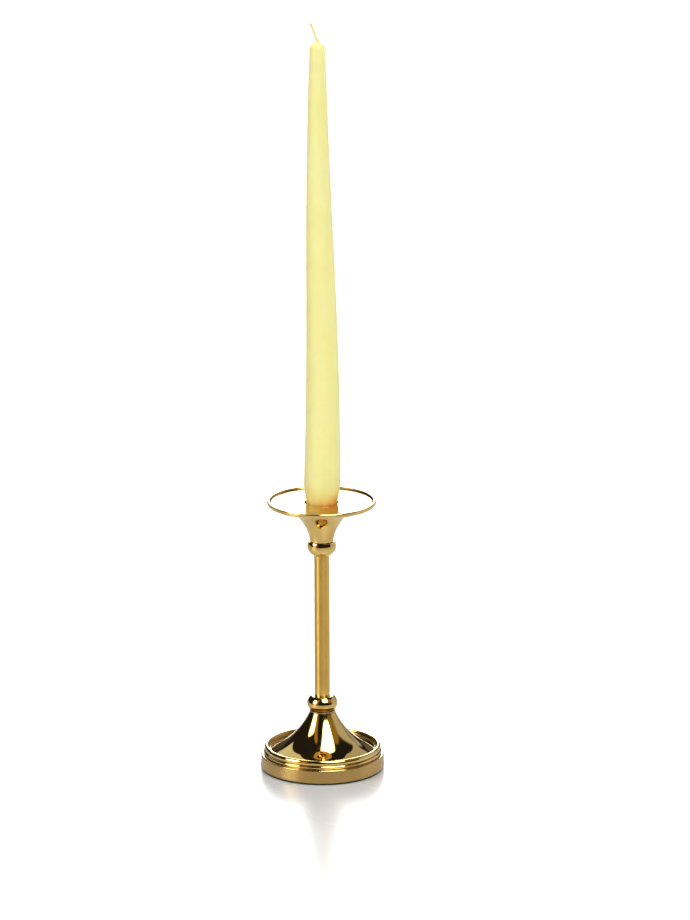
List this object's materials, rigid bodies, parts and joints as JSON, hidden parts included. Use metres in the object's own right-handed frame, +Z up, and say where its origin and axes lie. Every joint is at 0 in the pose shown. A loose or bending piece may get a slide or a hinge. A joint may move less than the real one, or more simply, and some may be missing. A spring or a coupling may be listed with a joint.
{
  "type": "taper candlestick",
  "caption": "Turned brass candlestick with a weighted round foot, ball knops on a slim tube stem, a trumpet cup and a flat drip pan, holding a tall taper candle.",
  "frame": {"origin": "centre of the felt pad's underside, on the stem's axis", "axes": "+Z up along the stem; -X is the side that the candle's tip and wick lean towards"},
  "size_m": [0.079, 0.079, 0.4868],
  "materials": {
    "polished_brass": "polished and lacquered",
    "satin_brass": "brushed round the tube and lacquered",
    "cast_iron": "rough as cast",
    "zinc_steel": "zinc plated",
    "felt": "pressed felt",
    "wax": "dipped wax, soft sheen",
    "waxed_cotton": "braided cotton dipped in wax"
  },
  "bodies": {
    "holder": {"felt_pad": "felt", "base_shell": "polished_brass", "ballast_weight": "cast_iron", "base_washer": "zinc_steel", "lock_washer": "zinc_steel", "base_nut": "zinc_steel", "lower_knop": "polished_brass", "stem_tube": "satin_brass", "upper_knop": "polished_brass", "candle_cup": "polished_brass", "drip_pan": "polished_brass", "candle_socket": "polished_brass", "socket_washer": "zinc_steel", "socket_nut": "zinc_steel", "tie_rod": "zinc_steel"},
    "taper_candle": {"candle": "wax", "wick": "waxed_cotton"}
  },
  "joints": [
    {"name": "candle_lift", "type": "slide", "parent": "holder", "child": "taper_candle", "axis": [0, 0, 1], "range_m": [0, 0.06]}
  ]
}
